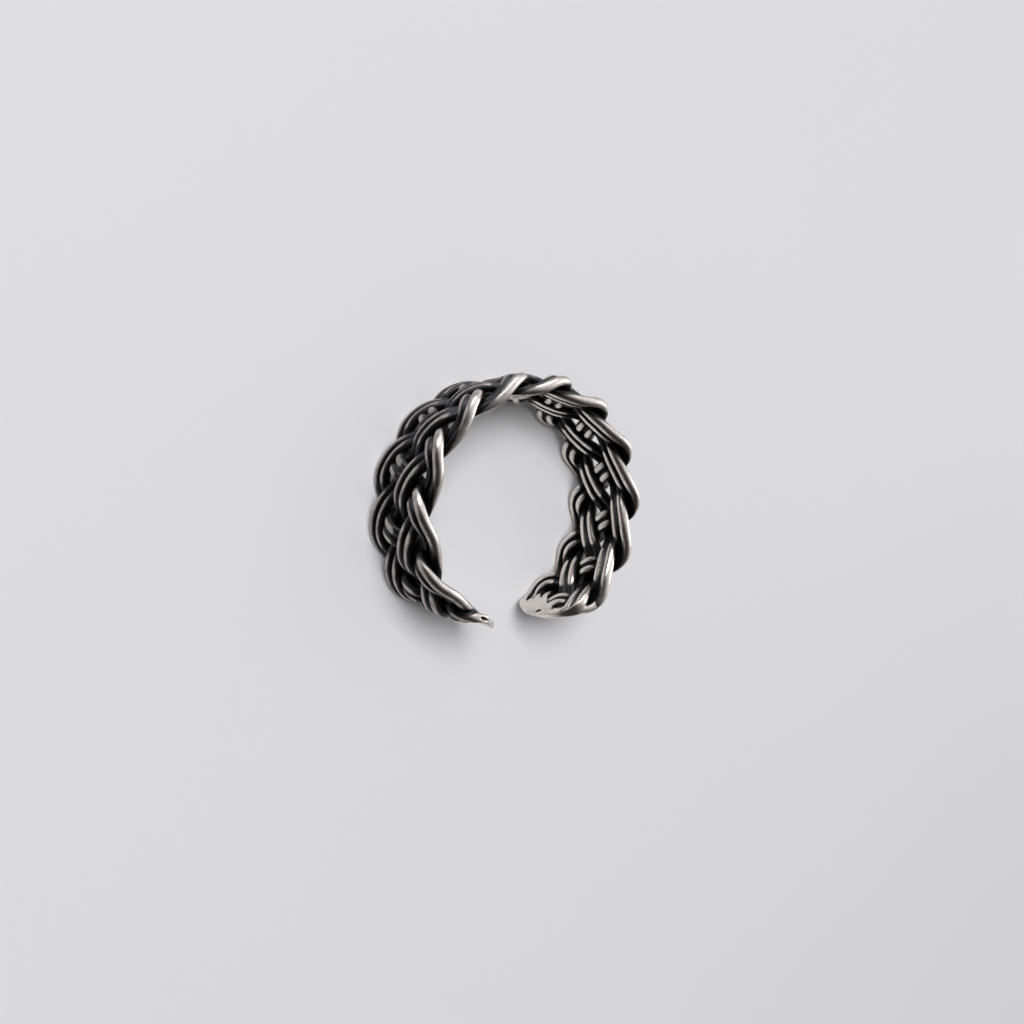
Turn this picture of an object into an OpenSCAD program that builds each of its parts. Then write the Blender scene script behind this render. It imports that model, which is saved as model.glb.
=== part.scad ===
// Braided band ring, lying on its side.
// Five strands of two round wires each are plaited flat into one band. The band is bent
// round the Z axis into an open ring, and its two ends are soldered, flattened and filed.
// The gap between the ends faces -Y. Angles round the ring are counter-clockwise from +Y.

/* [Ring] */
// Radius of the band's middle surface
band_radius = 10; // [9:0.1:12]
// Part by which the longest radius is over the mean one
ovality = 0.032; // [0:0.002:0.05]
// Direction of the longest radius
oval_turn = -68; // [-90:1:90]
// Outward lean of the near edge and inward lean of the far edge
flare = 0.1; // [0:0.05:0.3]
// Angle at which the left end stops
left_stop = 163; // [155:1:170]
// Angle at which the right end stops, clockwise from +Y
right_stop = 165; // [155:1:170]

/* [Wire] */
// Diameter of one wire
wire_diameter = 0.74; // [0.7:0.01:0.74]
// Clear space between the two wires of a strand
pair_gap = 0.1; // [0.1:0.01:0.16]

/* [Braid] */
// Sideways reach of a strand's middle line from the middle of the band
reach = 3; // [3:0.05:3.3]
// Part of the reach that straightens the crossings and rounds the edge loops less
edge_point = 0.14; // [0.12:0.01:0.16]
// Part of the reach that draws the edge loops in again
edge_round = 0.03; // [0.02:0.01:0.04]
// Part by which the band is wider on its wide side
width_change = 0.04; // [0:0.01:0.04]
// Direction of the band's wide side
width_turn = 85; // [0:5:90]
// Lift of a strand over and under its neighbours
weave_lift = 0.66; // [0.66:0.01:0.75]
// Part of the lift that flattens the top of each rise
weave_flat = 0.066; // [0.06:0.002:0.07]
// Swing along the band that eases each crossing, in degrees of the braid
weave_swing = -8.8; // [-10:0.2:-8]
// Degrees of the braid to each degree of the ring
braid_rate = 2.8; // [2.74:0.02:2.86]
// Degrees by which the braid is packed closer on one side of the ring
rate_change = -5; // [-5:0.5:0]
// Direction in which the packing changes
rate_turn = 128; // [0:1:180]
// Degrees by which the far edge runs ahead of the near edge, halved
skew = 10.7; // [10:0.1:11]
// Place in the braid at the top of the ring
start_phase = 4; // [0:1:72]

/* [Soldered ends] */
// Length of the left end, in degrees round the ring
left_end_turn = 26; // [22:1:32]
// Length of the right end, in degrees round the ring
right_end_turn = 24; // [20:1:30]
// Half width of an end where the strands enter it
end_half_width = 3.8; // [3.5:0.1:4.2]
// Thickness of an end where the strands enter it
end_root_thickness = 2; // [1.8:0.1:2.2]
// Thickness of an end at its rounded point
end_point_thickness = 0.8; // [0.7:0.1:1.1]
// Height of the ridges that the melted wires leave
ridge_height = 0.15; // [0:0.01:0.2]
// Clear space between a strand and the end that holds it
end_gap = 0.12; // [0.1:0.01:0.2]

/* [Facets] */
// Sides of a wire
wire_sides = 6; // [5:1:8]
// Degrees of the braid between two rings of a wire
wire_step = 9; // [8:1:12]

/* [Hidden] */
STRANDS = 5;
wire_radius = wire_diameter / 2;
half_pair = (wire_diameter + pair_gap) / 2;
left_root = left_stop - left_end_turn;
right_root = right_stop - right_end_turn;
silver = [0.66, 0.64, 0.62];

// Radius of the band's middle surface at an angle round the ring
function ring_radius(angle) = band_radius * (1 + ovality * cos(2 * (angle - oval_turn)));

// Width of the band there against the named reach
function width_factor(angle) = 1 + width_change * cos(angle - width_turn);

// Phase of the braid at an angle, and the angle at a phase by repeated correction
function braid_phase(angle) = braid_rate * angle + rate_change * sin(angle - rate_turn);
function braid_angle(phase, tries = 8, angle = 0) =
    tries == 0 ? angle :
    braid_angle(phase, tries - 1, (phase - rate_change * sin(angle - rate_turn)) / braid_rate);

// A strand's course: t is its own phase, with the near edge at 90 and the far edge at 270
function sideways(t) = sin(t) - edge_point * sin(3 * t) + edge_round * sin(5 * t);
function lift(t) = -weave_lift * sin(4 * t) - weave_flat * sin(12 * t);
function strand_angle(k, t) =
    braid_angle(t + 360 / STRANDS * k - start_phase + weave_swing * sin(2 * t)) - skew * sideways(t);

function on_ring(angle, radius, height) = [-radius * sin(angle), radius * cos(angle), height];

// The far edge stays level, so the band's change of width is all at the near edge
function band_height(angle, across) = reach * ((across + 1) * width_factor(angle) - 1);
function leaning_radius(angle, height) = ring_radius(angle) + flare * height / reach;
function strand_point(k, t) =
    let (angle = strand_angle(k, t), height = band_height(angle, sideways(t)))
    on_ring(angle, leaning_radius(angle, height) + lift(t), height);

function unit(v) = v / norm(v);
function outward(k, t) = let (angle = strand_angle(k, t)) [-sin(angle), cos(angle), 0];
function along(k, t) = unit(strand_point(k, t + 1) - strand_point(k, t - 1));
function across(k, t) = unit(cross(outward(k, t), along(k, t)));

// The middle of one wire of a strand; side is -1 or 1
function wire_point(k, side, t) = strand_point(k, t) + side * half_pair * across(k, t);
function angle_of(p) = atan2(-p[0], p[1]);

// Phase at which a wire reaches an angle, by repeated correction
function phase_at(k, side, angle, t, tries = 24) =
    tries == 0 ? t :
    phase_at(k, side, angle, t + braid_rate * 0.6 * (angle - angle_of(wire_point(k, side, t))), tries - 1);

// A ring of points round a wire, and the same ring slid along the wire into a radial plane
function wire_ring(k, side, t) =
    let (middle = wire_point(k, side, t), a = across(k, t), b = cross(along(k, t), a))
    [for (i = [0:wire_sides - 1])
        let (turn = 360 * i / wire_sides)
        middle + wire_radius * (cos(turn) * a + sin(turn) * b)];
function cut_ring(k, side, t, angle) =
    let (plane = [cos(angle), sin(angle), 0], way = along(k, t))
    [for (p = wire_ring(k, side, t)) p - way * (p * plane) / (way * plane)];

// Faces of a tube made of rings of n points, with flat ends
function tube_faces(rings, n) = concat(
    [[for (i = [0:n - 1]) i]],
    [for (j = [0:rings - 2], i = [0:n - 1])
        let (next = (i + 1) % n)
        [j * n + i, (j + 1) * n + i, (j + 1) * n + next, j * n + next]],
    [[for (i = [n - 1:-1:0]) (rings - 1) * n + i]]);

function flat(list) = [for (group = list, item = group) item];
function rough_phase(k, angle) = braid_phase(angle) - 360 / STRANDS * k + start_phase;

function wire_rings(k, side) =
    let (first_angle = -right_root + end_gap_turn,
         last_angle = left_root - end_gap_turn,
         first = phase_at(k, side, first_angle, rough_phase(k, first_angle)),
         last = phase_at(k, side, last_angle, rough_phase(k, last_angle)),
         steps = ceil((last - first) / wire_step))
    concat(
        [cut_ring(k, side, first, first_angle)],
        [for (i = [1:steps - 1]) wire_ring(k, side, first + (last - first) * i / steps)],
        [cut_ring(k, side, last, last_angle)]);

end_gap_turn = end_gap / band_radius * 180 / PI;

// Cross-section of an end: a rounded bar with low ridges on its outer face. part runs from 0
// where the strands enter to 1 at the point, and way is 1 on the left and -1 on the right
function end_half(part) = end_half_width * pow(max(0, 1 - pow(part, END_ROUNDING)), 0.5);
function end_thickness(part) = end_root_thickness + (end_point_thickness - end_root_thickness) * part;
function soft_power(v) = sign(v) * pow(abs(v), 0.6);
function end_ring(way, root, stop, part) =
    let (angle = way * (root + end_gap_turn + (stop - root - end_gap_turn) * part),
         middle_turn = angle - way * (root + stop) / 2,
         filed = ring_radius(angle) * (cos((stop - root) / 2) / cos(middle_turn) - 1),
         thickness = end_thickness(part))
    [for (i = [0:END_POINTS - 1])
        let (turn = way * 360 * i / END_POINTS,
             v = soft_power(cos(turn)),
             ridge = ridge_height * (1 - part) * cos(180 * RIDGES * v),
             outer = thickness / 2 * soft_power(sin(turn)) + ridge * max(0, sin(turn)),
             inner = sin(turn) < 0 ? filed * abs(sin(turn)) : 0,
             height = band_height(angle, 0) + end_half(part) * v)
        on_ring(angle, leaning_radius(angle, height) + outer + inner, height)];
function end_rings(way, root, stop) =
    [for (j = [0:END_RINGS]) end_ring(way, root, stop, 0.995 * sin(90 * j / END_RINGS))];

END_POINTS = 36;
END_RINGS = 14;
END_ROUNDING = 2.4;
RIDGES = 4;

// Everything is moved as one, so that the band's far edge rests on Z = 0 round the origin
left_rings = end_rings(1, left_root, left_stop);
right_rings = end_rings(-1, right_root, right_stop);
all_points = concat(
    flat([for (k = [0:STRANDS - 1], side = [-1, 1]) flat(wire_rings(k, side))]),
    flat(left_rings), flat(right_rings));
function column(i) = [for (p = all_points) p[i]];
function middle(i) = (min(column(i)) + max(column(i))) / 2;
rest = [-middle(0), -middle(1), -min(column(2))];

// One strand: two loose round wires side by side
module strand(k) {
    color(silver)
    translate(rest)
    for (side = [-1, 1]) {
        rings = wire_rings(k, side);
        polyhedron(points = flat(rings), faces = tube_faces(len(rings), wire_sides), convexity = 10);
    }
}

// One soldered end, flattened outside and filed flat inside
module soldered_end(rings) {
    color(silver)
    translate(rest)
    polyhedron(points = flat(rings), faces = tube_faces(len(rings), END_POINTS), convexity = 4);
}

strand(0);  // strand_1
strand(1);  // strand_2
strand(2);  // strand_3
strand(3);  // strand_4
strand(4);  // strand_5
soldered_end(left_rings);  // tip_left
soldered_end(right_rings);  // tip_right
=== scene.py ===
"""Braided band ring of blackened silver, lying on its side on a pale floor."""
import math
from collections import namedtuple

import bpy
import numpy as np
from mathutils import Matrix, Vector, kdtree


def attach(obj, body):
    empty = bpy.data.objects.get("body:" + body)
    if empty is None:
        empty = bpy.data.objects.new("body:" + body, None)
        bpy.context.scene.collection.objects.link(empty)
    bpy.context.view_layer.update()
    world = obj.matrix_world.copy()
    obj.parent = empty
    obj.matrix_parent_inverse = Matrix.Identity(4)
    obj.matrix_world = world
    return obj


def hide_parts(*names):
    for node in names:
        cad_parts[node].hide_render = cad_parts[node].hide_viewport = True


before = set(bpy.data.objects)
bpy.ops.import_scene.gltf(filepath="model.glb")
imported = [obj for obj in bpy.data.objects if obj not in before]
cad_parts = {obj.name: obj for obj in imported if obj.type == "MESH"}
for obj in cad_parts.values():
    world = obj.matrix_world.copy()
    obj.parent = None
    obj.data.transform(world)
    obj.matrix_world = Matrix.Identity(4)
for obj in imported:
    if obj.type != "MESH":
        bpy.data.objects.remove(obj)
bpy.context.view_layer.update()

bl_info = {
    "name": "Braided band ring",
    "version": (1, 0, 0),
    "blender": (4, 5, 0),
    "location": "View3D > Sidebar > Ring",
    "description": "Builds an open plaited silver ring with soldered ends",
    "category": "Add Mesh",
}

MM = 0.001
TURN = 2 * math.pi
STRANDS = 5

# The ring's centre in the frame, in millimetres: the band's far edge rests on Z = 0
CENTRE = np.array((0.0, -0.416, 4.13))

# The band: the part by which its longest radius is over the mean one and the direction of that
# radius, how far its near edge leans outwards in millimetres, and the part by which it is wider on
# its wide side and the direction of that side. Directions are in degrees from +Y towards -X
OVALITY = 0.032
OVAL_TURN = -68.0
FLARE = 0.1
WIDTH_CHANGE = 0.05
WIDTH_TURN = 85.0
# The plait: how much its edge loops are rounded less, how far the tops of its weave are flattened
# in millimetres, and in its own degrees the swing that eases each crossing
EDGE_POINT = 0.1
WEAVE_FLAT = 0.03
WEAVE_SWING = -6.5
# Degrees of the plait to each degree of the ring, degrees by which it is packed closer on one side
# and where, how far its far edge runs ahead, and its place at the top of the ring
BRAID_RATE = 2.77
RATE_CHANGE = -8.1
RATE_TURN = 139.5
SKEW = 11.2
START_PHASE = 5.4

# A soldered end. In degrees: stop is where it ends, turn its length, and drawn the length over
# which the strands are drawn in. rounding is the power that rounds its outline, early the part of
# the end by which it is bent and hammered flat sooner, and grown the part at which its rim starts
# to grow. In millimetres: near and far are how much further than the half width its edges reach,
# depth is how far inside the band's middle surface its point lies, twist how much its far edge
# turns inwards for each millimetre, swell how much thicker its wires get, rim the radius of its
# rim, and start that radius at the near edge where the wires enter. slant is the part by which the
# inner face is filed later for each millimetre towards the near edge
End = namedtuple("End", "name node way stop turn drawn rounding early near far depth twist swell "
                        "rim start grown slant")
LEFT_END = End(
    name="end_left_solder", node="tip_left", way=1, stop=161.6, turn=24.1, drawn=21.0,
    rounding=2.7, early=0.4, near=-0.12, far=-0.3, depth=0.6, twist=0.08, swell=0.06, rim=0.32,
    start=0.0, grown=0.1, slant=0.0)
RIGHT_END = End(
    name="end_right_solder", node="tip_right", way=-1, stop=165.4, turn=23.0, drawn=13.0,
    rounding=3.2, early=0.0, near=-0.22, far=0.2, depth=0.3, twist=0.0, swell=0.02, rim=0.36,
    start=0.4, grown=-0.05, slant=0.07)
ENDS = (LEFT_END, RIGHT_END)


class RingBand(bpy.types.PropertyGroup):
    """Sizes of the plaited band"""
    radius: bpy.props.FloatProperty(
        name="Band radius", description="Radius of the band's middle surface",
        default=10 * MM, min=8 * MM, max=12 * MM, unit="LENGTH", precision=5)
    reach: bpy.props.FloatProperty(
        name="Reach", description="Reach of a strand's middle line from the middle of the band",
        default=2.93 * MM, min=2.5 * MM, max=3.5 * MM, unit="LENGTH", precision=5)
    wire: bpy.props.FloatProperty(
        name="Wire", description="Diameter of one wire",
        default=0.85 * MM, min=0.6 * MM, max=1.0 * MM, unit="LENGTH", precision=5)
    pair: bpy.props.FloatProperty(
        name="Pair spacing", description="Distance between the middles of a strand's two wires",
        default=0.89 * MM, min=0.7 * MM, max=1.1 * MM, unit="LENGTH", precision=5)
    lift: bpy.props.FloatProperty(
        name="Lift", description="Lift of a strand over and under its neighbours",
        default=0.55 * MM, min=0.4 * MM, max=0.8 * MM, unit="LENGTH", precision=5)


class RingEnds(bpy.types.PropertyGroup):
    """Sizes of the soldered ends"""
    half_width: bpy.props.FloatProperty(
        name="Half width", description="Half width of an end where the strands enter it",
        default=4 * MM, min=3 * MM, max=4.5 * MM, unit="LENGTH", precision=5)
    thickness: bpy.props.FloatProperty(
        name="Thickness", description="Thickness of an end at its rounded point",
        default=0.52 * MM, min=0.4 * MM, max=1.2 * MM, unit="LENGTH", precision=5)


class RingFinish(bpy.types.PropertyGroup):
    """Colours of the silver"""
    silver: bpy.props.FloatVectorProperty(
        name="Silver", description="Colour of polished silver", subtype="COLOR", size=3,
        default=(0.86, 0.79, 0.745), min=0, max=1)
    patina: bpy.props.FloatVectorProperty(
        name="Patina", description="Colour of blackened silver", subtype="COLOR", size=3,
        default=(0.04, 0.04, 0.043), min=0, max=1)
    floor: bpy.props.FloatVectorProperty(
        name="Floor", description="Colour of the floor", subtype="COLOR", size=3,
        default=(0.79, 0.79, 0.81), min=0, max=1)


def degrees_sin(turn):
    return np.sin(np.radians(turn))


def degrees_cos(turn):
    return np.cos(np.radians(turn))


def smooth(low, high, value):
    """0 below low, 1 above high and a smooth rise between them."""
    part = np.clip((value - low) / (high - low), 0, 1)
    return part * part * (3 - 2 * part)


def between(first, last, part):
    return first + (last - first) * part


def unit(rows):
    return rows / np.linalg.norm(rows, axis=-1, keepdims=True)


def on_ring(angle, radius, height):
    angle, radius, height = np.broadcast_arrays(angle, radius, height)
    return np.stack((-radius * degrees_sin(angle), radius * degrees_cos(angle), height), -1)


def end_part(end, angle):
    """How far into a soldered end an angle is: 0 where the strands enter and 1 at its point."""
    return (end.way * angle - (end.stop - end.turn)) / end.turn


# Parts of an end between which it bends inwards, is twisted, and has its weave hammered out, and
# the part of the weave that goes
BENT = (0.1, 0.85)
TWISTED = (0.2, 1.0)
FLATTENED = (0.15, 0.85)
FLATTENING = 0.8
# Part of a pair's spacing that is left where the strands are drawn in fully
PAIR_CLOSED = 0.45
# Rounds of correction that find an angle, and the phases among which one is looked up
ANGLE_ROUNDS = 8
PHASE_REACH = 900
PHASE_STEPS = 7201


def end_sink(end, part, height):
    """How far inside the band's middle surface an end's own middle lies, in millimetres."""
    sunk = end.depth * smooth(*BENT, part + end.early)
    return sunk - end.twist * height * smooth(*TWISTED, part)


class Plait:
    """The courses of the wires, in millimetres round the ring's centre."""

    def __init__(self, scene):
        band = scene.ring_band
        self.radius = band.radius / MM
        self.reach = band.reach / MM
        self.wire = band.wire / MM / 2
        self.half_pair = band.pair / MM / 2
        self.lift_height = band.lift / MM
        self.end_half_width = scene.ring_ends.half_width / MM
        self.end_thickness = scene.ring_ends.thickness / MM

    def ring_radius(self, angle):
        return self.radius * (1 + OVALITY * degrees_cos(2 * (angle - OVAL_TURN)))

    def width_factor(self, angle):
        return 1 + WIDTH_CHANGE * degrees_cos(angle - WIDTH_TURN)

    def band_height(self, angle, across):
        return self.reach * ((across + 1) * self.width_factor(angle) - 1)

    def leaning_radius(self, angle, height):
        return self.ring_radius(angle) + FLARE * height / self.reach

    def sideways(self, phase):
        return degrees_sin(phase) - EDGE_POINT * degrees_sin(3 * phase)

    def lift(self, phase):
        return -self.lift_height * degrees_sin(4 * phase) - WEAVE_FLAT * degrees_sin(12 * phase)

    def angle(self, strand, phase):
        turned = phase + 360 / STRANDS * strand - START_PHASE + WEAVE_SWING * degrees_sin(2 * phase)
        angle = turned / BRAID_RATE
        for _ in range(ANGLE_ROUNDS):
            angle = (turned - RATE_CHANGE * degrees_sin(angle - RATE_TURN)) / BRAID_RATE
        return angle - SKEW * self.sideways(phase)

    def middle(self, strand, phase):
        """Middle line of a strand, drawn in and flattened where it runs into an end."""
        angle = self.angle(strand, phase)
        narrow, rise = 1.0, 1.0
        for end in ENDS:
            drawn = np.clip((end.way * angle - end.stop + end.drawn) / end.drawn, 0, 1)
            narrow = narrow * np.sqrt(1 - drawn ** 2)
            flat = smooth(*FLATTENED, end_part(end, angle) + end.early)
            rise = rise * (1 - FLATTENING * flat)
        height = self.band_height(angle, self.sideways(phase)) * narrow
        sink = sum(end_sink(end, end_part(end, angle), height) for end in ENDS)
        radius = self.leaning_radius(angle, height) + self.lift(phase) * rise - sink
        return on_ring(angle, radius, height), angle, narrow

    def phases(self, strand, first_angle, last_angle, steps):
        """Phases at which a strand runs from one angle to another."""
        wide = np.linspace(-PHASE_REACH, PHASE_REACH, PHASE_STEPS)
        angle = self.angle(strand, wide)
        first = np.interp(first_angle, angle, wide)
        last = np.interp(last_angle, angle, wide)
        return np.linspace(first, last, steps)

    def course(self, strand, phase):
        """Middle line, sideways and outward directions and length of a strand."""
        middle, angle, narrow = self.middle(strand, phase)
        way = unit(np.gradient(middle, axis=0))
        outward = on_ring(angle, 1.0, 0.0)
        across = unit(np.cross(outward, way))
        lifted = np.cross(way, across)
        steps = np.linalg.norm(np.diff(middle, axis=0), axis=1)
        length = np.concatenate(([0], np.cumsum(steps)))
        spread = self.half_pair * between(PAIR_CLOSED, 1, narrow)
        return middle, across, lifted, length, spread


def angle_of(points):
    return np.degrees(np.arctan2(-points[..., 0], points[..., 1]))


# Sections along a strand, points round one wire, and half the angle of each wire's outline that
# the bridge between the two takes up, in radians
STRAND_STEPS = 680
WIRE_SIDES = 22
PAIR_BRIDGE = 0.3
# Degrees by which a strand runs on inside the solder of an end, where it starts and stops getting
# thinner in there, and by how much
STRAND_SEAT = 4.0
SEAT_START = 1.4
SEAT_STOP = 3.2
SEAT_THINNING = 0.2


def pair_section(plait, open_turn):
    """Outline of two round wires side by side, joined by a thin bridge."""
    turns = np.linspace(open_turn, TURN - open_turn, WIRE_SIDES)
    right = np.stack((-np.cos(turns), np.sin(turns)), -1) * plait.wire
    right[:, 0] += plait.half_pair
    return np.concatenate((right, -right))


def tube_faces(rings, count):
    """Quads of a tube of rings with count points each, and its two end caps."""
    index = np.arange(count)
    ahead = (index + 1) % count
    base = (np.arange(rings - 1) * count)[:, None]
    quads = np.stack((base + index, base + count + index, base + count + ahead, base + ahead), -1)
    faces = quads.reshape(-1, 4).tolist()
    faces.append(list(range(count)))
    faces.append([(rings - 1) * count + i for i in range(count - 1, -1, -1)])
    return faces


def add_mesh(name, points, faces, node, length_map):
    """Makes one piece from points in millimetres round the ring's centre."""
    mesh = bpy.data.meshes.new(name)
    mesh.from_pydata(((points + CENTRE) * MM).tolist(), [], faces)
    mesh.polygons.foreach_set("use_smooth", np.ones(len(mesh.polygons), bool))
    uv = mesh.uv_layers.new(name="along")
    corner = np.empty(len(mesh.loops), np.int32)
    mesh.loops.foreach_get("vertex_index", corner)
    uv.data.foreach_set("uv", np.ascontiguousarray(length_map[corner], np.float32).ravel())
    mesh.update()
    piece = bpy.data.objects.new(name, mesh)
    bpy.context.scene.collection.objects.link(piece)
    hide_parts(node)
    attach(piece, "root")
    return piece


def build_strand(plait, strand):
    """One strand: two round wires side by side, made as one closed body."""
    first = -(RIGHT_END.stop - RIGHT_END.turn + STRAND_SEAT)
    last = LEFT_END.stop - LEFT_END.turn + STRAND_SEAT
    phase = plait.phases(strand, first, last, STRAND_STEPS)
    middle, across, lifted, length, spread = plait.course(strand, phase)
    outline = pair_section(plait, PAIR_BRIDGE)
    count = len(outline)
    axis = np.stack((np.sign(outline[:, 0]) * plait.half_pair, np.zeros(count)), -1)
    scale = np.ones((len(phase), count, 1))
    # The first round finds how deep in the solder each point lies, and the second thins it there
    for _ in range(2):
        section = axis + (outline - axis) * scale
        section[..., 0] += np.sign(outline[:, 0]) * (spread[:, None] - plait.half_pair)
        points = middle[:, None] + section[..., :1] * across[:, None]
        points = points + section[..., 1:] * lifted[:, None]
        angle = angle_of(points)
        beyond = np.maximum(angle - last, first - angle) + STRAND_SEAT
        scale = (1 - SEAT_THINNING * smooth(SEAT_START, SEAT_STOP, beyond))[..., None]
    points = points.reshape(-1, 3)
    around = np.tile(np.linspace(0, 1, count), len(phase))
    length_map = np.stack((np.repeat(length, count), around * TURN * plait.wire * 2), -1)
    node = f"strand_{strand + 1}"
    faces = tube_faces(len(phase), count)
    return add_mesh(f"{node}_wires", points, faces, node, length_map)


# Spacing of the grid on which an end is formed, and the largest distance on it
GRID_STEP = 0.075
FAR = 0.9
# How far the grid reaches before the start of an end and past its point, in degrees, past its
# edges, and inside and outside of the band's middle surface, in millimetres
GRID_TURNS = (0.6, 1.5)
GRID_EDGE = 0.5
GRID_OFFSETS = (-1.35, 1.3)
# Distance given to places that only touch corner to corner, and rounds in which they are found
FILLED = -0.3 * GRID_STEP
DIAGONAL_ROUNDS = 4


def surface_net(field):
    """Closed quads round the part of a grid where the field is below 0, in grid places."""
    cells = np.array(field.shape) - 1
    total = np.zeros((*cells, 3))
    count = np.zeros(cells)
    crossings = []
    for axis in range(3):
        near = [slice(None)] * 3
        far = [slice(None)] * 3
        near[axis] = slice(0, -1)
        far[axis] = slice(1, None)
        low, high = field[tuple(near)], field[tuple(far)]
        cross = np.argwhere((low < 0) != (high < 0))
        low, high = low[tuple(cross.T)], high[tuple(cross.T)]
        place = cross.astype(float)
        place[:, axis] += low / (low - high)
        others = [i for i in range(3) if i != axis]
        corners = []
        for back in ((0, 0), (1, 0), (1, 1), (0, 1)):
            cell = cross.copy()
            cell[:, others[0]] -= back[0]
            cell[:, others[1]] -= back[1]
            np.add.at(total, tuple(cell.T), place)
            np.add.at(count, tuple(cell.T), 1)
            corners.append(cell)
        turned = (low < 0) if axis != 1 else (low >= 0)
        crossings.append((np.stack(corners, 1), turned))
    used = count > 0
    number = np.full(cells, -1)
    number[used] = np.arange(used.sum())
    places = total[used] / count[used][:, None]
    faces = []
    for corners, turned in crossings:
        quads = number[tuple(np.moveaxis(corners, -1, 0))]
        faces.append(np.where(turned[:, None], quads, quads[:, ::-1]))
    return places, np.concatenate(faces)


def join_diagonals(field):
    """Fills places that only touch corner to corner, so that the surface round them is closed."""
    for _ in range(DIAGONAL_ROUNDS):
        for first, second in ((0, 1), (0, 2), (1, 2)):
            views = []
            for steps in ((0, 0), (1, 0), (1, 1), (0, 1)):
                view = [slice(None)] * 3
                view[first] = slice(1, None) if steps[0] else slice(0, -1)
                view[second] = slice(1, None) if steps[1] else slice(0, -1)
                views.append(field[tuple(view)])
            inside = [view < 0 for view in views]
            across = (inside[0] == inside[2]) & (inside[1] == inside[3]) & (inside[0] != inside[1])
            for view in views:
                view[across] = np.minimum(view[across], FILLED)


def soft_min(a, b, blend):
    gap = np.maximum(blend - np.abs(a - b), 0) / blend
    return np.minimum(a, b) - gap * gap * blend / 4


def soft_max(a, b, blend):
    return -soft_min(-a, -b, blend)


# How far a wire of an end is thinner than the strand that it takes over from, and then thicker,
# and the parts of the end between which it swells
WIRE_SUNK = -0.02
WIRE_COATED = 0.018
SWOLLEN = (0.25, 0.75)


class Grid:
    """A grid of places round one soldered end that follows the bend of the ring."""

    def __init__(self, plait, end):
        self.plait = plait
        self.end = end
        self.degree = GRID_STEP / plait.radius * 180 / math.pi
        self.length = np.radians(end.turn) * plait.radius
        root = end.stop - end.turn
        self.turns = np.arange(root - GRID_TURNS[0], end.stop + GRID_TURNS[1], self.degree)
        limit = plait.end_half_width + GRID_EDGE
        self.heights = np.arange(-limit, limit, GRID_STEP)
        self.offsets = np.arange(*GRID_OFFSETS, GRID_STEP)
        axes = (self.turns, self.heights, self.offsets)
        turn, self.height, self.offset = np.meshgrid(*axes, indexing="ij")
        self.part = (turn - root) / end.turn
        self.real = self.places(turn, self.height, self.offset)

    def places(self, turn, height, offset):
        angle = self.end.way * turn
        return on_ring(angle, self.plait.leaning_radius(angle, height) + offset, height)

    def from_index(self, index):
        turn = self.turns[0] + index[:, 0] * self.degree
        height = self.heights[0] + index[:, 1] * GRID_STEP
        offset = self.offsets[0] + index[:, 2] * GRID_STEP
        return turn, height, offset

    def nearest(self, point):
        """Grid place of a real point, as three fractional indices."""
        angle = angle_of(point)
        offset = math.hypot(point[0], point[1]) - self.plait.leaning_radius(angle, point[2])
        return np.array(((self.end.way * angle - self.turns[0]) / self.degree,
                         (point[2] - self.heights[0]) / GRID_STEP,
                         (offset - self.offsets[0]) / GRID_STEP))

    def wire_field(self, line):
        """Distance from one wire, known near it and FAR elsewhere."""
        field = np.full(self.part.shape, FAR)
        half = (FAR + self.plait.wire) / GRID_STEP + 1
        root = self.end.stop - self.end.turn
        for a, b in zip(line[:-1], line[1:]):
            inside = self.end.way * angle_of((a + b) / 2) - root
            coat = between(WIRE_SUNK, WIRE_COATED, smooth(0.0, SEAT_STOP, inside))
            swell = self.end.swell * smooth(*SWOLLEN, inside / self.end.turn)
            radius = self.plait.wire + coat + swell
            centre = self.nearest((a + b) / 2)
            start = np.maximum(np.floor(centre - half).astype(int), 0)
            stop = np.minimum(np.ceil(centre + half).astype(int) + 1, field.shape)
            if (start >= stop).any():
                continue
            window = tuple(slice(i, j) for i, j in zip(start, stop))
            away = self.real[window] - a
            run = b - a
            part = np.clip((away @ run) / (run @ run), 0, 1)
            distance = np.linalg.norm(away - part[..., None] * run, axis=-1) - radius
            field[window] = np.minimum(field[window], distance)
        return field


# Offsets from which an end's inner and outer faces start, clear of its wires, the parts between
# which they come in to its thickness, and how much of its early bend they follow
FACES_FROM = (1.4, 1.15)
FILED = (0.05, 0.8)
HAMMERED = (0.0, 0.75)
HAMMERED_EARLY = 0.6
# Width over which the wires melt together, at first and then at the point, and where it changes
MELT = (0.03, 0.14)
MELTED = (0.1, 0.8)
# Degrees before an end and before its point between which its wires are drawn, and their steps
WIRE_LEAD = 4.0
WIRE_STOP = 1.5
WIRE_STEPS = 90
# Least part and slope that the distance from an end's outline is worked out with
LEAST_PART = 0.3
LEAST_SLOPE = 0.12
# The web between the wires: the part at which it starts, how far it lies under the faces and up
# to which part, how far inside the outline it stops, and how its edges are rounded
WEB_START = 0.55
WEB_RECESS = 0.15
WEB_RISEN = (0.75, 1.0)
WEB_INSET = 0.05
WEB_EDGES = (0.35, 0.1)
# The rim: the offsets at which it starts from the outermost wires at the near and far edges, the
# part over which it comes in from them, and the part over which it grows
RIM_START = (0.5, -0.4)
RIM_RUN = 0.45
RIM_GROWTH = 0.25
# Widths over which the web, the rim, the faces and the pits blend with the rest
WEB_BLEND = 0.12
RIM_BLEND = (0.08, 0.3)
RIM_BLENDED = (0.3, 0.6)
FILED_BLEND = 0.05
HAMMERED_BLEND = 0.2
PIT_BLEND = 0.06
# Depths under the faces between which the metal is filed bright, and how far the rest of an end is
# rubbed and the parts between which that comes in
PROUD = (0.09, 0.03)
RUBBED = 0.2
RUBBED_PARTS = (0.1, 0.7)
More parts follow.
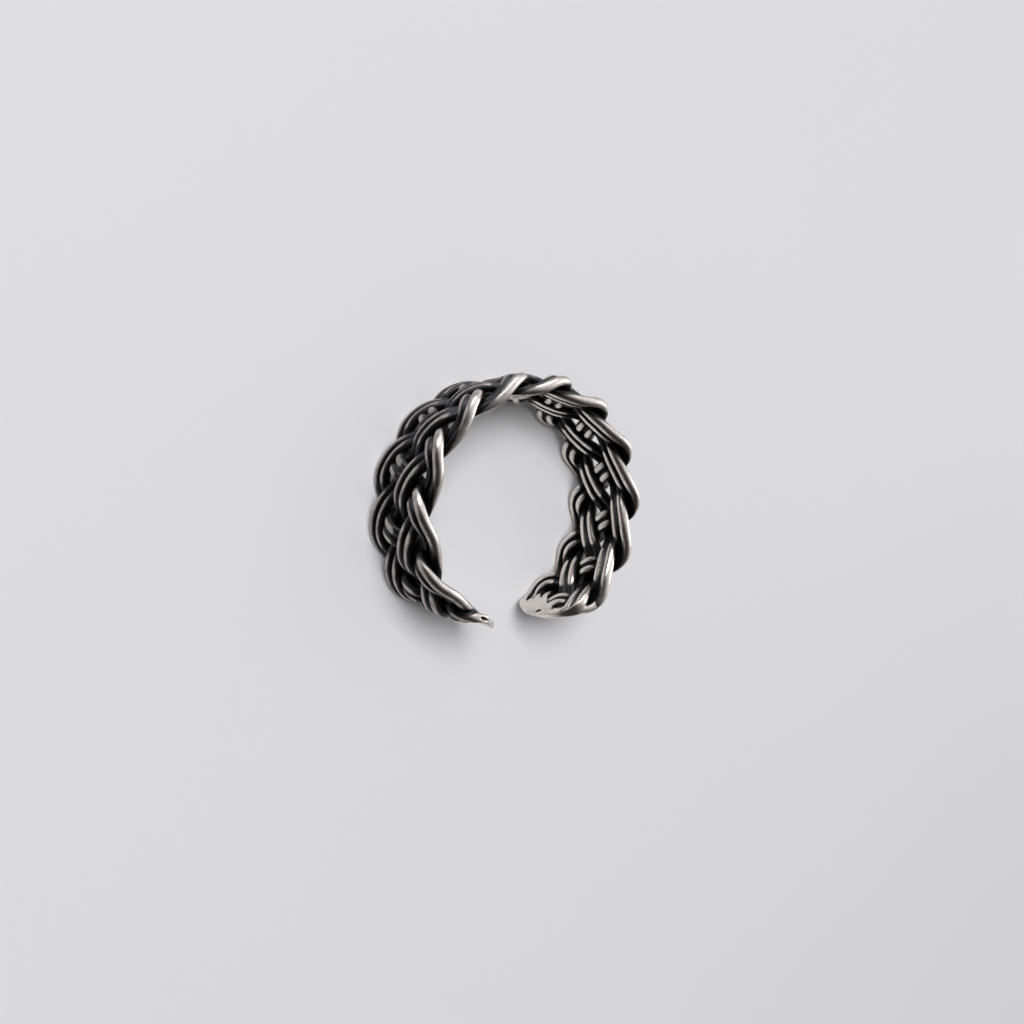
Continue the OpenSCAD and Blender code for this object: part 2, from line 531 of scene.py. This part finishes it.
# Pits and dents: degrees before the point, height, side (1 outside, 0 at the edge, -1 inside), half
# length, half width and depth
Pit = namedtuple("Pit", "before height side long wide deep")
PITS = {
    "end_left_solder": (
        Pit(before=15.5, height=3.9, side=0, long=0.6, wide=0.11, deep=0.11),
        Pit(before=5.5, height=0.2, side=1, long=0.5, wide=0.25, deep=0.2)),
    "end_right_solder": (
        Pit(before=2.2, height=0.1, side=-1, long=0.28, wide=0.22, deep=0.3),
        Pit(before=2.9, height=-1.3, side=-1, long=0.42, wide=0.5, deep=0.13)),
}


def end_faces(plait, end, part, height):
    """Offsets of the filed inner face and the hammered outer face of an end."""
    face = plait.end_thickness / 2
    sunk = end_sink(end, part, height)
    ahead = part + HAMMERED_EARLY * end.early
    inner = between(FACES_FROM[0], face, smooth(*FILED, ahead - end.slant * height))
    outer = between(FACES_FROM[1], face, smooth(*HAMMERED, ahead))
    return -sunk - inner, -sunk + outer


def end_wires(plait, end, grid, part):
    """The wires that run on through an end and melt together."""
    melt = between(*MELT, smooth(*MELTED, part))
    field = np.full(part.shape, FAR)
    root = end.way * (end.stop - end.turn)
    first, last = sorted((root - end.way * WIRE_LEAD, end.way * (end.stop - WIRE_STOP)))
    for strand in range(STRANDS):
        phase = plait.phases(strand, first, last, WIRE_STEPS)
        middle, across, _, _, spread = plait.course(strand, phase)
        for side in (-1, 1):
            line = middle + side * spread[:, None] * across
            field = soft_min(field, grid.wire_field(line), melt)
    return field


def end_outline(plait, end, grid, part):
    """Height from the middle of an end, and distance outside its rounded outline."""
    factor = plait.width_factor(end.way * (end.stop - end.turn * (1 - grid.part)))
    half = (plait.end_half_width + (end.near + end.far) / 2) * factor
    side = grid.height - plait.reach * (factor - 1) - (end.near - end.far) / 2
    level = (np.abs(side) / half) ** 2 + part ** end.rounding - 1
    steep = end.rounding * np.maximum(part, LEAST_PART) ** (end.rounding - 1) / grid.length
    return side, level / np.maximum(np.hypot(2 * side / half ** 2, steep), LEAST_SLOPE)


def end_web(end, grid, part, outline, middle, face):
    """The thin plate of solder between the wires of an end."""
    recess = WEB_RECESS * (1 - smooth(*WEB_RISEN, part - end.slant * grid.height))
    web = soft_max(np.abs(middle) - face + recess, outline + WEB_INSET, WEB_EDGES[0])
    return soft_max(web, (WEB_START - part) * grid.length, WEB_EDGES[1])


def end_rim(end, part, side, outline, middle):
    """The round rim along an end's outline."""
    grown = smooth(end.grown, end.grown + RIM_GROWTH, part)
    thick = between(np.where(side > 0, end.start, 0), end.rim, grown)
    start = np.where(side > 0, *RIM_START) * (1 - smooth(0.0, RIM_RUN, part))
    return np.hypot(outline + end.rim, middle - start) - thick


def cut_pits(plait, end, grid, field, middle, face):
    """Takes the pits out of an end."""
    for pit in PITS[end.name]:
        along = grid.length * (1 - grid.part) - np.radians(pit.before) * plait.radius
        across = grid.height - pit.height
        under = middle - pit.side * face
        hole = np.sqrt((along / pit.long) ** 2 + (across / pit.wide) ** 2 + (under / pit.deep) ** 2)
        field = soft_max(field, (1 - hole) * pit.deep, PIT_BLEND)
    return field


def close_walls(field):
    """Clears the outer places of a grid, so that nothing on it runs into its walls."""
    for axis in range(3):
        for edge in (0, -1):
            wall = [slice(None)] * 3
            wall[axis] = edge
            field[tuple(wall)] = FAR


def build_end(plait, end):
    """One soldered end: the plaited wires run together, hammered thin and filed flat inside."""
    grid = Grid(plait, end)
    part = np.clip(grid.part, 0, 1)
    face = plait.end_thickness / 2
    middle = grid.offset + end_sink(end, part, grid.height)
    inner, outer = end_faces(plait, end, part, grid.height)
    side, outline = end_outline(plait, end, grid, part)
    field = end_wires(plait, end, grid, part)
    field = soft_min(field, end_web(end, grid, part, outline, middle, face), WEB_BLEND)
    rim_blend = between(*RIM_BLEND, smooth(*RIM_BLENDED, part))
    field = soft_min(field, end_rim(end, part, side, outline, middle), rim_blend)
    field = soft_max(field, inner - grid.offset, FILED_BLEND)
    field = soft_max(field, grid.offset - outer, HAMMERED_BLEND)
    field = soft_max(field, outline, HAMMERED_BLEND)
    field = cut_pits(plait, end, grid, field, middle, face)
    field = np.maximum(field, -grid.part * grid.length)
    close_walls(field)
    join_diagonals(field)
    places, faces = surface_net(field)
    turn, height, offset = grid.from_index(places)
    points = grid.places(turn, height, offset)
    if end.way < 0:
        faces = faces[:, ::-1]
    length_map = np.stack((np.radians(turn) * plait.radius, height + offset), -1)
    piece = add_mesh(end.name, points, faces.tolist(), end.node, length_map)
    part = 1 - (end.stop - turn) / end.turn
    inner, outer = end_faces(plait, end, part, height)
    proud = np.minimum(offset - inner, outer - offset)
    filed = between(RUBBED * smooth(*RUBBED_PARTS, part), 1.0, smooth(*PROUD, proud))
    layer = piece.data.attributes.new("filed", "FLOAT", "POINT")
    layer.data.foreach_set("value", filed.astype(np.float32))
    return piece


# Radii of the polishing wheels that touch the ring, in millimetres, and how much each counts
WHEELS = ((0.25, 0.25), (0.7, 0.35), (1.8, 0.4))
# Polish taken off where a place faces the outside of the band, which darkens it, how far a place
# faces outwards where all of it is taken off, and the extra polish that filing gives to the ends
OUTWARD_DARKENING = 0.12
OUTSIDE_FACING = 0.8
END_POLISH = 0.14
# Patina kept where a strand crosses inside the band below the others, and the depths under the
# innermost wires, the heights and the inward facing between which it sets in
CROSSING_PATINA = 0.24
CROSSING_DEPTH = (0.25, 0.55)
CROSSING_HEIGHT = (2.5, 1.9)
CROSSING_FACING = (0.1, 0.5)


def polish_pieces(plait, pieces):
    """Marks on each point how well polishing wheels of several sizes reach it."""
    shapes = []
    for piece in pieces:
        mesh = piece.data
        points = np.empty(len(mesh.vertices) * 3, np.float32)
        normals = np.empty(len(mesh.vertices) * 3, np.float32)
        mesh.vertices.foreach_get("co", points)
        mesh.vertex_normals.foreach_get("vector", normals)
        shapes.append((mesh, points.reshape(-1, 3) / MM, normals.reshape(-1, 3)))
    everything = np.concatenate([points for _, points, _ in shapes])
    tree = kdtree.KDTree(len(everything))
    for i, point in enumerate(everything):
        tree.insert(point, i)
    tree.balance()
    for mesh, points, normals in shapes:
        reach = np.zeros(len(points))
        for radius, weight in WHEELS:
            centres = points + normals * radius
            gaps = np.array([tree.find(centre)[2] for centre in centres])
            reach += weight * np.clip(gaps / radius, 0, 1)
        place = points - CENTRE
        angle = angle_of(place)
        outward = (normals * on_ring(angle, 1.0, 0.0)).sum(1)
        # Polish is taken off places that face outwards, so the outside of the band comes out darker
        reach -= OUTWARD_DARKENING * smooth(0.0, OUTSIDE_FACING, outward)
        filed = mesh.attributes.get("filed")
        if filed is None:
            height = place[:, 2]
            offset = np.hypot(place[:, 0], place[:, 1]) - plait.leaning_radius(angle, height)
            deep = smooth(*CROSSING_DEPTH, offset + plait.lift_height + plait.wire)
            inside = smooth(*CROSSING_HEIGHT, np.abs(height)) * smooth(*CROSSING_FACING, -outward)
            reach -= CROSSING_PATINA * deep * inside
        else:
            part = np.empty(len(points), np.float32)
            filed.data.foreach_get("value", part)
            reach += END_POLISH * part
        layer = mesh.attributes.new("polish", "FLOAT", "POINT")
        layer.data.foreach_set("value", reach.astype(np.float32))


def new_group(name, inputs, outputs):
    """An empty shader node group with named sockets."""
    group = bpy.data.node_groups.new(name, "ShaderNodeTree")
    number = "NodeSocketFloat"
    for label in inputs:
        group.interface.new_socket(name=label, in_out="INPUT", socket_type=number)
    for label in outputs:
        group.interface.new_socket(name=label, in_out="OUTPUT", socket_type=number)
    return group, group.nodes.new("NodeGroupInput"), group.nodes.new("NodeGroupOutput")


def set_socket(tree, socket, value):
    """Links an output to a socket, or sets the socket's own value."""
    if isinstance(value, bpy.types.NodeSocket):
        tree.links.new(value, socket)
    else:
        socket.default_value = value


def add_node(tree, kind, settings=None, **inputs):
    """Adds a node with its properties and with its inputs, by name or as i and their number."""
    node = tree.nodes.new(kind)
    for key, value in (settings or {}).items():
        setattr(node, key, value)
    for key, value in inputs.items():
        numbered = key[0] == "i" and key[1:].isdigit()
        set_socket(tree, node.inputs[int(key[1:]) if numbered else key], value)
    return node


def math_node(tree, operation, *values):
    node = tree.nodes.new("ShaderNodeMath")
    node.operation = operation
    for socket, value in zip(node.inputs, values):
        set_socket(tree, socket, value)
    return node.outputs[0]


def ramp_between(tree, value, low, high):
    """A smooth rise from 0 at low to 1 at high."""
    settings = {"interpolation_type": "SMOOTHSTEP"}
    node = add_node(tree, "ShaderNodeMapRange", settings, i0=value, i1=low, i2=high)
    return node.outputs[0]


def mix_colours(tree, part, first, last):
    node = add_node(tree, "ShaderNodeMix", {"data_type": "RGBA"}, i0=part, i6=first, i7=last)
    return node.outputs[2]


# The patina's blotches, its fine grain and the drawn scratches: how fine each is, with its layers
# and roughness, its share in the ragged edge of the patina, and what they come to on average
BLOTCH = (1100.0, 5.0, 0.6)
GRAIN = (5200.0, 3.0, 0.6)
SCRATCH = (2.2, 6.0, 0.7)
SCRATCH_STRETCH = (0.5, 15.0, 1.0)
SHARES = (0.5, 0.2, 0.5)
SHARES_MEAN = 0.6


def noise_node(tree, place, look):
    scale, detail, roughness = look
    node = add_node(tree, "ShaderNodeTexNoise", None, Vector=place, Scale=scale, Detail=detail,
                    Roughness=roughness)
    return node.outputs[0]


def patina_wear_group():
    """Turns the polish of a place into a wear mask with ragged edges, and drawn scratches."""
    group, source, sink = new_group(
        "Patina wear", ("Polish", "Raggedness", "Low", "High"), ("Wear", "Scratch", "Blotch"))
    place = group.nodes.new("ShaderNodeTexCoord").outputs["Object"]
    along = add_node(group, "ShaderNodeUVMap", {"uv_map": "along"}).outputs[0]
    stretch = add_node(group, "ShaderNodeMapping", None, Vector=along, Scale=SCRATCH_STRETCH)
    blotch = noise_node(group, place, BLOTCH)
    fine = noise_node(group, place, GRAIN)
    lines = noise_node(group, stretch.outputs[0], SCRATCH)
    mixed = -SHARES_MEAN
    for pattern, share in zip((blotch, fine, lines), SHARES):
        mixed = math_node(group, "MULTIPLY_ADD", pattern, share, mixed)
    ragged = math_node(group, "MULTIPLY", mixed, source.outputs["Raggedness"])
    worn = math_node(group, "ADD", source.outputs["Polish"], ragged)
    wear = ramp_between(group, worn, source.outputs["Low"], source.outputs["High"])
    for label, value in (("Wear", wear), ("Scratch", lines), ("Blotch", blotch)):
        group.links.new(value, sink.inputs[label])
    return group


# Polish at which the patina starts to wear off and at which it has gone
WORN_FROM = 0.8
WORN_TO = 0.97
# Brightness of dulled silver, and how scratches and blotches make the streaks between it and
# bright silver
DULLED = 0.66
STREAK_SCRATCH = 1.2
STREAKS = (0.8, 1.25)
# Roughness of patina and of silver, how much scratches add, and what is taken off for that
PATINA_ROUGH = 0.38
SILVER_ROUGH = 0.25
SCRATCH_ROUGH = 0.16
SCRATCH_SMOOTHED = 0.06
# Height of worn silver against scratches, and the height of a scratch in metres
WORN_HEIGHT = 0.3
SCRATCH_HEIGHT = 0.00002


def silver_material(name, finish, raggedness, scratch_depth):
    """Polished silver on the crests and black patina in the recesses."""
    material = bpy.data.materials.new(name)
    material.use_nodes = True
    tree = material.node_tree
    shader = tree.nodes["Principled BSDF"]
    polish = add_node(tree, "ShaderNodeAttribute", {"attribute_name": "polish"})
    wear = tree.nodes.new("ShaderNodeGroup")
    wear.node_tree = bpy.data.node_groups.get("Patina wear") or patina_wear_group()
    tree.links.new(polish.outputs["Fac"], wear.inputs["Polish"])
    wear.inputs["Raggedness"].default_value = raggedness
    wear.inputs["Low"].default_value = WORN_FROM
    wear.inputs["High"].default_value = WORN_TO
    worn, scratch = wear.outputs["Wear"], wear.outputs["Scratch"]
    silver = (*finish.silver, 1)
    dulled = tuple(c * DULLED for c in finish.silver) + (1,)
    streaks = math_node(tree, "MULTIPLY_ADD", scratch, STREAK_SCRATCH, wear.outputs["Blotch"])
    tone = mix_colours(tree, ramp_between(tree, streaks, *STREAKS), dulled, silver)
    colour = mix_colours(tree, worn, (*finish.patina, 1), tone)
    tree.links.new(colour, shader.inputs["Base Color"])
    shader.inputs["Metallic"].default_value = 1.0
    rough = add_node(tree, "ShaderNodeMapRange", None, i0=worn, i3=PATINA_ROUGH, i4=SILVER_ROUGH)
    lined = math_node(tree, "MULTIPLY_ADD", scratch, SCRATCH_ROUGH, rough.outputs[0])
    lined = math_node(tree, "SUBTRACT", lined, SCRATCH_SMOOTHED)
    tree.links.new(lined, shader.inputs["Roughness"])
    height = math_node(tree, "MULTIPLY_ADD", worn, WORN_HEIGHT, scratch)
    bump = add_node(tree, "ShaderNodeBump", None, Strength=scratch_depth, Distance=SCRATCH_HEIGHT,
                    Height=height)
    tree.links.new(bump.outputs[0], shader.inputs["Normal"])
    return material


# The floor's clouds, how much darker they are, and its roughness
FLOOR_CLOUDS = (30.0, 2.0, 0.5)
FLOOR_SHADED = 0.985
FLOOR_ROUGH = 0.7


def floor_material(finish):
    material = bpy.data.materials.new("Pale floor")
    material.use_nodes = True
    tree = material.node_tree
    shader = tree.nodes["Principled BSDF"]
    place = tree.nodes.new("ShaderNodeTexCoord").outputs["Object"]
    shaded = tuple(c * FLOOR_SHADED for c in finish.floor) + (1,)
    cloud = noise_node(tree, place, FLOOR_CLOUDS)
    colour = mix_colours(tree, cloud, shaded, (*finish.floor, 1))
    tree.links.new(colour, shader.inputs["Base Color"])
    shader.inputs["Roughness"].default_value = FLOOR_ROUGH
    return material


class RING_OT_strands(bpy.types.Operator):
    """Build the five plaited strands"""
    bl_idname = "ring.strands"
    bl_label = "Build strands"

    def execute(self, context):
        plait = Plait(context.scene)
        metal = silver_material("Blackened silver wire", context.scene.ring_finish,
                                raggedness=0.16, scratch_depth=0.25)
        for strand in range(STRANDS):
            piece = build_strand(plait, strand)
            piece.data.materials.append(metal)
        return {"FINISHED"}


class RING_OT_ends(bpy.types.Operator):
    """Build the two soldered ends"""
    bl_idname = "ring.ends"
    bl_label = "Build soldered ends"

    def execute(self, context):
        plait = Plait(context.scene)
        metal = silver_material("Filed silver", context.scene.ring_finish,
                                raggedness=0.18, scratch_depth=0.5)
        for end in ENDS:
            piece = build_end(plait, end)
            piece.data.materials.append(metal)
        return {"FINISHED"}


class RING_OT_polish(bpy.types.Operator):
    """Polish the crests and leave the patina in the recesses"""
    bl_idname = "ring.polish"
    bl_label = "Polish"

    def execute(self, context):
        names = [f"strand_{strand + 1}_wires" for strand in range(STRANDS)]
        names += [end.name for end in ENDS]
        polish_pieces(Plait(context.scene), [bpy.data.objects[name] for name in names])
        return {"FINISHED"}


# The camera, from the ring's centre: its turn off the ring's axis, its rise and roll in radians,
# its distance in millimetres, the pixels that a millimetre takes at the centre, the image's size
# and the pixel that shows the centre, the sensor's width in millimetres, and the nearest distance
# that it sees in metres
CAMERA_TURN = 0.634
CAMERA_RISE = 0.074
CAMERA_ROLL = -0.019
CAMERA_DISTANCE = 88.0
VIEW_SCALE = 12.306
IMAGE_SIZE = 1024
VIEW_X = 510.3
VIEW_Y = 507.3
SENSOR = 36.0
CLIP_START = 0.002


def camera_axes():
    """Directions to the camera's right, up and back."""
    level = math.cos(CAMERA_RISE)
    away = (-math.sin(CAMERA_TURN) * level, math.sin(CAMERA_RISE), math.cos(CAMERA_TURN) * level)
    back = Vector(away)
    right = Vector((0, 1, 0)).cross(back).normalized()
    up = back.cross(right)
    rolled_right = right * math.cos(CAMERA_ROLL) + up * math.sin(CAMERA_ROLL)
    rolled_up = up * math.cos(CAMERA_ROLL) - right * math.sin(CAMERA_ROLL)
    return rolled_right, rolled_up, back


def add_camera():
    data = bpy.data.cameras.new("camera")
    data.sensor_width = SENSOR
    data.sensor_fit = "HORIZONTAL"
    data.lens = VIEW_SCALE * CAMERA_DISTANCE / IMAGE_SIZE * SENSOR
    data.shift_x = (IMAGE_SIZE / 2 - VIEW_X) / IMAGE_SIZE
    data.shift_y = (VIEW_Y - IMAGE_SIZE / 2) / IMAGE_SIZE
    data.clip_start = CLIP_START
    camera = bpy.data.objects.new("camera", data)
    axes = camera_axes()
    place = Vector((CENTRE * MM).tolist()) + axes[2] * CAMERA_DISTANCE * MM
    camera.matrix_world = Matrix.Translation(place) @ Matrix(axes).transposed().to_4x4()
    bpy.context.scene.collection.objects.link(camera)
    bpy.context.scene.camera = camera


# The softboxes: place, width and height in metres, watts, colour, and whether one lights the metal
# or else the floor
Softbox = namedtuple("Softbox", "name place size watts colour in_metal")
SOFTBOXES = (
    Softbox("overhead", (-0.28, 0.3, 0.92), (0.5, 0.5), 8.4, (1.0, 0.995, 0.99), False),
    Softbox("top", (-0.02, 0.36, 0.14), (0.4, 0.16), 0.75, (1.0, 0.99, 0.975), True),
    Softbox("right", (0.36, 0.03, 0.1), (0.14, 0.3), 0.35, (1.0, 0.975, 0.96), True),
)


def add_softbox(box):
    """An oblong area light that faces the ring's centre."""
    data = bpy.data.lights.new(box.name, "AREA")
    data.shape = "RECTANGLE"
    data.size, data.size_y = box.size
    data.energy = box.watts
    data.color = box.colour
    lamp = bpy.data.objects.new(box.name, data)
    lamp.location = box.place
    lamp.visible_glossy = box.in_metal
    lamp.visible_diffuse = not box.in_metal
    lamp.visible_camera = False
    aim = Vector((CENTRE * MM).tolist()) - Vector(box.place)
    lamp.rotation_euler = aim.to_track_quat("-Z", "Y").to_euler()
    bpy.context.scene.collection.objects.link(lamp)


# Light that the studio sheds on the floor, and its colour behind the floor
STUDIO_SHED = (0.194, 0.196, 0.2, 1)
STUDIO_SEEN = (0.66, 0.66, 0.68, 1)
# The studio in the metal's reflections: the direction of its pale side, how far a reflection
# turns to it between the dim and the pale colour, and the two colours
PALE_WAY = (0.72, 0.66, 0.16)
PALE_TURN = (-0.2, 0.98)
DIM_SIDE = (0.03, 0.028, 0.028, 1)
PALE_SIDE = (1.0, 0.98, 0.97, 1)
# Half the width of the floor, in metres
FLOOR_HALF = 0.6


def studio_world():
    """A pale studio whose mirror image in the metal is dim on one side."""
    world = bpy.data.worlds.new("studio")
    world.use_nodes = True
    tree = world.node_tree
    way = tree.nodes.new("ShaderNodeTexCoord").outputs["Generated"]
    settings = {"operation": "DOT_PRODUCT"}
    facing = add_node(tree, "ShaderNodeVectorMath", settings, i0=way, i1=PALE_WAY)
    pale = ramp_between(tree, facing.outputs["Value"], *PALE_TURN)
    mirrored = mix_colours(tree, pale, DIM_SIDE, PALE_SIDE)
    ray = tree.nodes.new("ShaderNodeLightPath")
    seen = mix_colours(tree, ray.outputs["Is Camera Ray"], STUDIO_SHED, STUDIO_SEEN)
    light = mix_colours(tree, ray.outputs["Is Glossy Ray"], seen, mirrored)
    tree.links.new(light, tree.nodes["Background"].inputs[0])
    return world


class RING_OT_stage(bpy.types.Operator):
    """Add the floor, the lights and the camera"""
    bl_idname = "ring.stage"
    bl_label = "Add stage"

    def execute(self, context):
        mesh = bpy.data.meshes.new("floor")
        half = FLOOR_HALF
        corners = [(-half, -half, 0), (half, -half, 0), (half, half, 0), (-half, half, 0)]
        mesh.from_pydata(corners, [], [(0, 1, 2, 3)])
        floor = bpy.data.objects.new("floor", mesh)
        context.scene.collection.objects.link(floor)
        mesh.materials.append(floor_material(context.scene.ring_finish))
        context.scene.world = studio_world()
        context.scene.view_settings.view_transform = "Standard"
        for box in SOFTBOXES:
            add_softbox(box)
        add_camera()
        return {"FINISHED"}


class RING_PT_panel(bpy.types.Panel):
    """Lists the ring's sizes, colours and steps"""
    bl_idname = "RING_PT_panel"
    bl_label = "Braided ring"
    bl_space_type = "VIEW_3D"
    bl_region_type = "UI"
    bl_category = "Ring"

    def draw(self, context):
        scene = context.scene
        for group in (scene.ring_band, scene.ring_ends, scene.ring_finish):
            column = self.layout.column()
            for key in group.__annotations__:
                column.prop(group, key)
        for operator in (RING_OT_strands, RING_OT_ends, RING_OT_polish, RING_OT_stage):
            self.layout.operator(operator.bl_idname)


CLASSES = (RingBand, RingEnds, RingFinish, RING_OT_strands, RING_OT_ends, RING_OT_polish,
           RING_OT_stage, RING_PT_panel)


def register():
    for item in CLASSES:
        bpy.utils.register_class(item)
    bpy.types.Scene.ring_band = bpy.props.PointerProperty(type=RingBand)
    bpy.types.Scene.ring_ends = bpy.props.PointerProperty(type=RingEnds)
    bpy.types.Scene.ring_finish = bpy.props.PointerProperty(type=RingFinish)


def unregister():
    del bpy.types.Scene.ring_band
    del bpy.types.Scene.ring_ends
    del bpy.types.Scene.ring_finish
    for item in reversed(CLASSES):
        bpy.utils.unregister_class(item)


def main():
    register()
    bpy.ops.ring.strands()
    bpy.ops.ring.ends()
    bpy.ops.ring.polish()
    bpy.ops.ring.stage()


if __name__ == "__main__":
    main()
